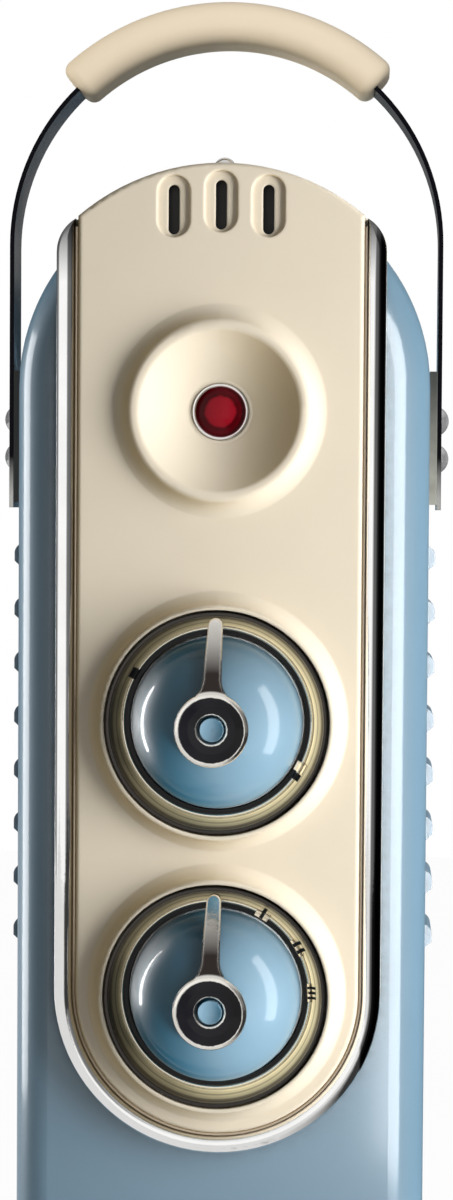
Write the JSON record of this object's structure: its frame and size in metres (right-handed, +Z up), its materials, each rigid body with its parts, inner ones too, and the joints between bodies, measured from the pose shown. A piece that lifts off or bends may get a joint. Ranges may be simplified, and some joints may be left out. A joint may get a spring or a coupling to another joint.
{
  "type": "oil-filled radiator",
  "caption": "Upright oil-filled radiator with a round-topped control tower, domed dials, pilot lamp, arched carrying handle and castors.",
  "frame": {"origin": "on the floor under the middle of the radiator's box", "axes": "+Z up, -Y towards the person who faces the controls, +X to that person's right"},
  "size_m": [0.23, 0.3772, 0.6568],
  "materials": {
    "cover_blue": "gloss enamel",
    "fin_blue": "gloss enamel",
    "panel_cream": "moulded, glossy",
    "grip_cream": "moulded, satin",
    "knob_blue": "moulded, high gloss",
    "trim_chrome": "bright plating",
    "dial_champagne": "satin metallic lacquer",
    "strap_dark": "black plating",
    "lens_red": "translucent red",
    "pad_black": "matt",
    "plated_steel": "zinc plated",
    "shield_steel": "bare sheet",
    "inner_plastic": "heat-resistant moulding",
    "ceramic_white": "ceramic",
    "gasket_fibre": "fibre",
    "foot_dark": "satin black",
    "castor_black": "moulded",
    "castor_tyre": "hard tread"
  },
  "bodies": {
    "radiator": {"front_cover": "cover_blue", "control_panel": "panel_cream", "panel_moulding": "trim_chrome", "lamp_lens": "lens_red", "lamp_bezel": "trim_chrome", "lamp_holder": "inner_plastic", "thermostat_dial_ring": "dial_champagne", "selector_dial_ring": "dial_champagne", "thermostat_body": "ceramic_white", "selector_body": "inner_plastic", "bush_nuts": "plated_steel", "panel_screws": "plated_steel", "top_screw": "trim_chrome", "shield_screws": "plated_steel", "handle_strap": "strap_dark", "handle_grip": "grip_cream", "handle_pads": "pad_black", "handle_screws": "trim_chrome", "handle_nuts": "plated_steel", "heat_shield": "shield_steel", "thermal_cutout": "inner_plastic", "terminal_block": "inner_plastic", "heater_plug": "plated_steel", "upper_plug": "plated_steel", "heater_gasket": "gasket_fibre", "heater_elements": "plated_steel", "rear_caps": "fin_blue", "outlet_plate": "inner_plastic", "cord_gland": "castor_black", "front_foot_bar": "foot_dark", "rear_foot_bar": "foot_dark", "u_bolts": "plated_steel", "wing_nuts": "plated_steel", "fin_1": "fin_blue", "fin_2": "fin_blue", "fin_3": "fin_blue", "fin_4": "fin_blue", "fin_5": "fin_blue", "fin_6": "fin_blue", "fin_7": "fin_blue"},
    "thermostat_dial": {"thermostat_knob": "knob_blue", "thermostat_pointer": "trim_chrome", "thermostat_shaft": "plated_steel"},
    "selector_dial": {"selector_knob": "knob_blue", "selector_pointer": "trim_chrome", "selector_shaft": "plated_steel"},
    "castor_fl": {"castor_fork_fl": "castor_black", "castor_axle_fl": "plated_steel"},
    "wheel_fl": {"castor_wheel_fl": "castor_tyre"},
    "castor_fr": {"castor_fork_fr": "castor_black", "castor_axle_fr": "plated_steel"},
    "wheel_fr": {"castor_wheel_fr": "castor_tyre"},
    "castor_rl": {"castor_fork_rl": "castor_black", "castor_axle_rl": "plated_steel"},
    "wheel_rl": {"castor_wheel_rl": "castor_tyre"},
    "castor_rr": {"castor_fork_rr": "castor_black", "castor_axle_rr": "plated_steel"},
    "wheel_rr": {"castor_wheel_rr": "castor_tyre"}
  },
  "joints": [
    {"name": "thermostat_turn", "type": "hinge", "parent": "radiator", "child": "thermostat_dial", "pos_m": [0, -0.1526, 0.3933], "axis": [0, 1, 0], "range_deg": [-60, 120]},
    {"name": "selector_turn", "type": "hinge", "parent": "radiator", "child": "selector_dial", "pos_m": [0, -0.1526, 0.2947], "axis": [0, 1, 0], "range_deg": [0, 90]},
    {"name": "castor_fl_swivel", "type": "hinge", "parent": "radiator", "child": "castor_fl", "pos_m": [-0.092, -0.0534, 0.0537], "axis": [0, 0, 1], "continuous": true},
    {"name": "castor_fl_roll", "type": "hinge", "parent": "castor_fl", "child": "wheel_fl", "pos_m": [-0.092, -0.0394, 0.02], "axis": [1, 0, 0], "continuous": true},
    {"name": "castor_fr_swivel", "type": "hinge", "parent": "radiator", "child": "castor_fr", "pos_m": [0.092, -0.0534, 0.0537], "axis": [0, 0, 1], "continuous": true},
    {"name": "castor_fr_roll", "type": "hinge", "parent": "castor_fr", "child": "wheel_fr", "pos_m": [0.092, -0.0394, 0.02], "axis": [1, 0, 0], "continuous": true},
    {"name": "castor_rl_swivel", "type": "hinge", "parent": "radiator", "child": "castor_rl", "pos_m": [-0.092, 0.1466, 0.0537], "axis": [0, 0, 1], "continuous": true},
    {"name": "castor_rl_roll", "type": "hinge", "parent": "castor_rl", "child": "wheel_rl", "pos_m": [-0.092, 0.1606, 0.02], "axis": [1, 0, 0], "continuous": true},
    {"name": "castor_rr_swivel", "type": "hinge", "parent": "radiator", "child": "castor_rr", "pos_m": [0.092, 0.1466, 0.0537], "axis": [0, 0, 1], "continuous": true},
    {"name": "castor_rr_roll", "type": "hinge", "parent": "castor_rr", "child": "wheel_rr", "pos_m": [0.092, 0.1606, 0.02], "axis": [1, 0, 0], "continuous": true}
  ]
}
